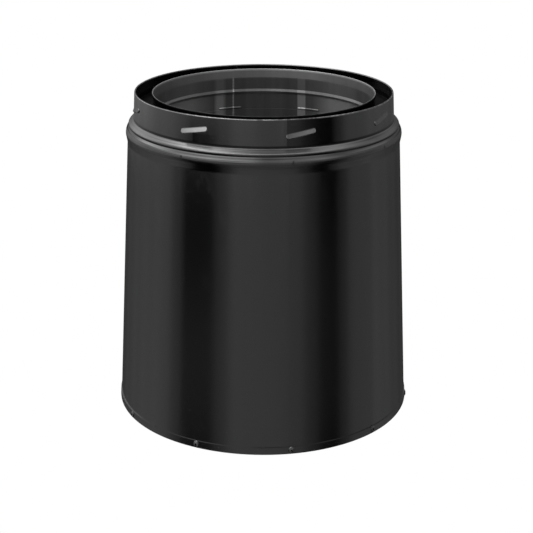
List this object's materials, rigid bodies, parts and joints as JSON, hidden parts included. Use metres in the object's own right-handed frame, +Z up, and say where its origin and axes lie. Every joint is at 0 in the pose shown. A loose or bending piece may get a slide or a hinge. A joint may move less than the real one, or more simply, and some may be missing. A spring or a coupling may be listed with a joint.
{
  "type": "insulated chimney pipe length",
  "caption": "Short double-wall insulated chimney pipe length in satin black, with a twist-lock collar on top, a matching socket below and an open metal flue.",
  "frame": {"origin": "centre of the lower rim, on the pipe's axis", "axes": "+Z up along the pipe's axis, from the socket end to the collar end; -Y is the front"},
  "size_m": [0.2576, 0.2576, 0.254],
  "materials": {
    "black_paint": "satin high-temperature black",
    "liner_steel": "stainless sheet, dark satin",
    "closure_black": "matt black",
    "rivet_steel": "satin black, worn to metal on the heads",
    "bracket_steel": "zinc-coated sheet",
    "blanket": "ceramic fibre blanket"
  },
  "bodies": {
    "root": {"outer_casing": "black_paint", "upper_outer_coupler": "black_paint", "lower_outer_coupler": "black_paint", "hem_rivets": "rivet_steel", "inner_liner": "liner_steel", "upper_liner_coupler": "liner_steel", "lower_liner_coupler": "liner_steel", "top_closure_ring": "closure_black", "bottom_closure_ring": "closure_black", "insulation_blanket": "blanket", "upper_standoff_1": "bracket_steel", "upper_standoff_2": "bracket_steel", "upper_standoff_3": "bracket_steel", "upper_standoff_4": "bracket_steel", "lower_standoff_1": "bracket_steel", "lower_standoff_2": "bracket_steel", "lower_standoff_3": "bracket_steel", "lower_standoff_4": "bracket_steel"}
  },
  "joints": []
}
